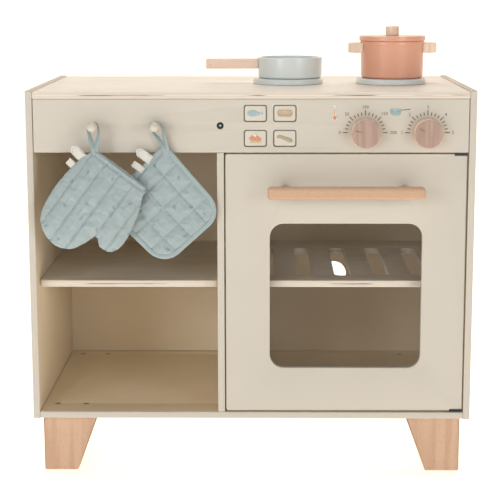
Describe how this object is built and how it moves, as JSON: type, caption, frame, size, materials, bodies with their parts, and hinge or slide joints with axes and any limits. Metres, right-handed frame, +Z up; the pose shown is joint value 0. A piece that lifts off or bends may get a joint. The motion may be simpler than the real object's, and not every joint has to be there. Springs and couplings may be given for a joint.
{
  "type": "toy kitchen",
  "caption": "Wooden toy kitchen with a hinged oven door, open shelves, turning dials, push buttons, a removable pan and lidded pot, and a hanging mitt and pot holder.",
  "frame": {"origin": "middle of the footprint, on the floor under the feet", "axes": "+Z up, +X to the right as seen by the child at the front, +Y from the front to the back panel"},
  "size_m": [0.6, 0.362, 0.6124],
  "materials": {
    "cream_paint": "cream satin paint on plywood",
    "plywood": "clear-lacquered birch plywood",
    "beech": "clear-lacquered beech",
    "grey_blue_paint": "grey-blue satin paint on turned wood",
    "terracotta_paint": "terracotta satin paint on turned wood",
    "clear_acrylic": "clear acrylic sheet",
    "zinc_steel": "zinc-plated steel",
    "black_steel": "black-plated steel",
    "button_white": "off-white satin paint on wood",
    "catch_plastic": "moulded plastic around a magnet",
    "cotton": "quilted grey-blue cotton"
  },
  "bodies": {
    "cabinet": {"left_side_panel": "cream_paint", "right_side_panel": "cream_paint", "worktop": "plywood", "control_panel": "cream_paint", "bottom_panel": "cream_paint", "divider": "cream_paint", "back_panel": "cream_paint", "left_shelf": "plywood", "oven_shelf": "plywood", "front_left_foot": "beech", "front_right_foot": "beech", "rear_left_foot": "beech", "rear_right_foot": "beech", "upper_hinge_plate": "zinc_steel", "lower_hinge_plate": "zinc_steel", "magnet_catch": "catch_plastic", "fascia_screw": "black_steel", "mitt_peg": "cream_paint", "holder_peg": "cream_paint", "left_hob_disc": "grey_blue_paint", "right_hob_disc": "grey_blue_paint", "button_backboard": "plywood", "left_button_batten": "plywood", "right_button_batten": "plywood", "fish_button_spring": "zinc_steel", "bun_button_spring": "zinc_steel", "cake_button_spring": "zinc_steel", "loaf_button_spring": "zinc_steel"},
    "door": {"oven_door": "cream_paint", "window_pane": "clear_acrylic", "door_handle_bar": "beech", "left_handle_standoff": "beech", "right_handle_standoff": "beech", "left_handle_screw": "zinc_steel", "right_handle_screw": "zinc_steel", "upper_hinge_leaf": "zinc_steel", "lower_hinge_leaf": "zinc_steel", "strike_plate": "zinc_steel"},
    "temperature_dial": {"temperature_knob": "beech", "temperature_axle": "zinc_steel", "temperature_nut": "zinc_steel"},
    "hob_dial": {"hob_knob": "beech", "hob_axle": "zinc_steel", "hob_nut": "zinc_steel"},
    "fish_button": {"fish_button": "button_white"},
    "bun_button": {"bun_button": "button_white"},
    "cake_button": {"cake_button": "button_white"},
    "loaf_button": {"loaf_button": "button_white"},
    "pan": {"pan_body": "grey_blue_paint", "pan_handle": "beech"},
    "pot": {"pot_body": "terracotta_paint", "left_pot_handle": "beech", "right_pot_handle": "beech"},
    "lid": {"pot_lid": "terracotta_paint", "lid_knob": "beech"},
    "mitt": {"oven_mitt": "cotton", "mitt_loop": "cotton"},
    "holder": {"pot_holder": "cotton", "holder_loop": "cotton"}
  },
  "joints": [
    {"name": "door_hinge", "type": "hinge", "parent": "cabinet", "child": "door", "pos_m": [0.283, -0.1345, 0.27], "axis": [0, 0, 1], "range_deg": [0, 110]},
    {"name": "temperature_turn", "type": "hinge", "parent": "cabinet", "child": "temperature_dial", "pos_m": [0.1522, -0.139, 0.477], "axis": [0, -1, 0], "continuous": true},
    {"name": "hob_turn", "type": "hinge", "parent": "cabinet", "child": "hob_dial", "pos_m": [0.2349, -0.139, 0.477], "axis": [0, -1, 0], "continuous": true},
    {"name": "fish_press", "type": "slide", "parent": "cabinet", "child": "fish_button", "axis": [0, 1, 0], "range_m": [0, 0.004], "stiffness_N_per_m": 400, "springref_m": -0.002, "deforming": ["fish_button_spring"]},
    {"name": "bun_press", "type": "slide", "parent": "cabinet", "child": "bun_button", "axis": [0, 1, 0], "range_m": [0, 0.004], "stiffness_N_per_m": 400, "springref_m": -0.002, "deforming": ["bun_button_spring"]},
    {"name": "cake_press", "type": "slide", "parent": "cabinet", "child": "cake_button", "axis": [0, 1, 0], "range_m": [0, 0.004], "stiffness_N_per_m": 400, "springref_m": -0.002, "deforming": ["cake_button_spring"]},
    {"name": "loaf_press", "type": "slide", "parent": "cabinet", "child": "loaf_button", "axis": [0, 1, 0], "range_m": [0, 0.004], "stiffness_N_per_m": 400, "springref_m": -0.002, "deforming": ["loaf_button_spring"]},
    {"name": "pan_lift", "type": "slide", "parent": "cabinet", "child": "pan", "axis": [0, 0, 1], "range_m": [0, 0.15]},
    {"name": "pot_lift", "type": "slide", "parent": "cabinet", "child": "pot", "axis": [0, 0, 1], "range_m": [0, 0.15]},
    {"name": "lid_lift", "type": "slide", "parent": "pot", "child": "lid", "axis": [0, 0, 1], "range_m": [0, 0.12]},
    {"name": "mitt_swing", "type": "hinge", "parent": "cabinet", "child": "mitt", "pos_m": [-0.2077, -0.159, 0.4877], "axis": [0, 1, 0], "range_deg": [-35, 50]},
    {"name": "holder_swing", "type": "hinge", "parent": "cabinet", "child": "holder", "pos_m": [-0.1259, -0.146, 0.4877], "axis": [0, 1, 0], "range_deg": [-50, 45]}
  ]
}
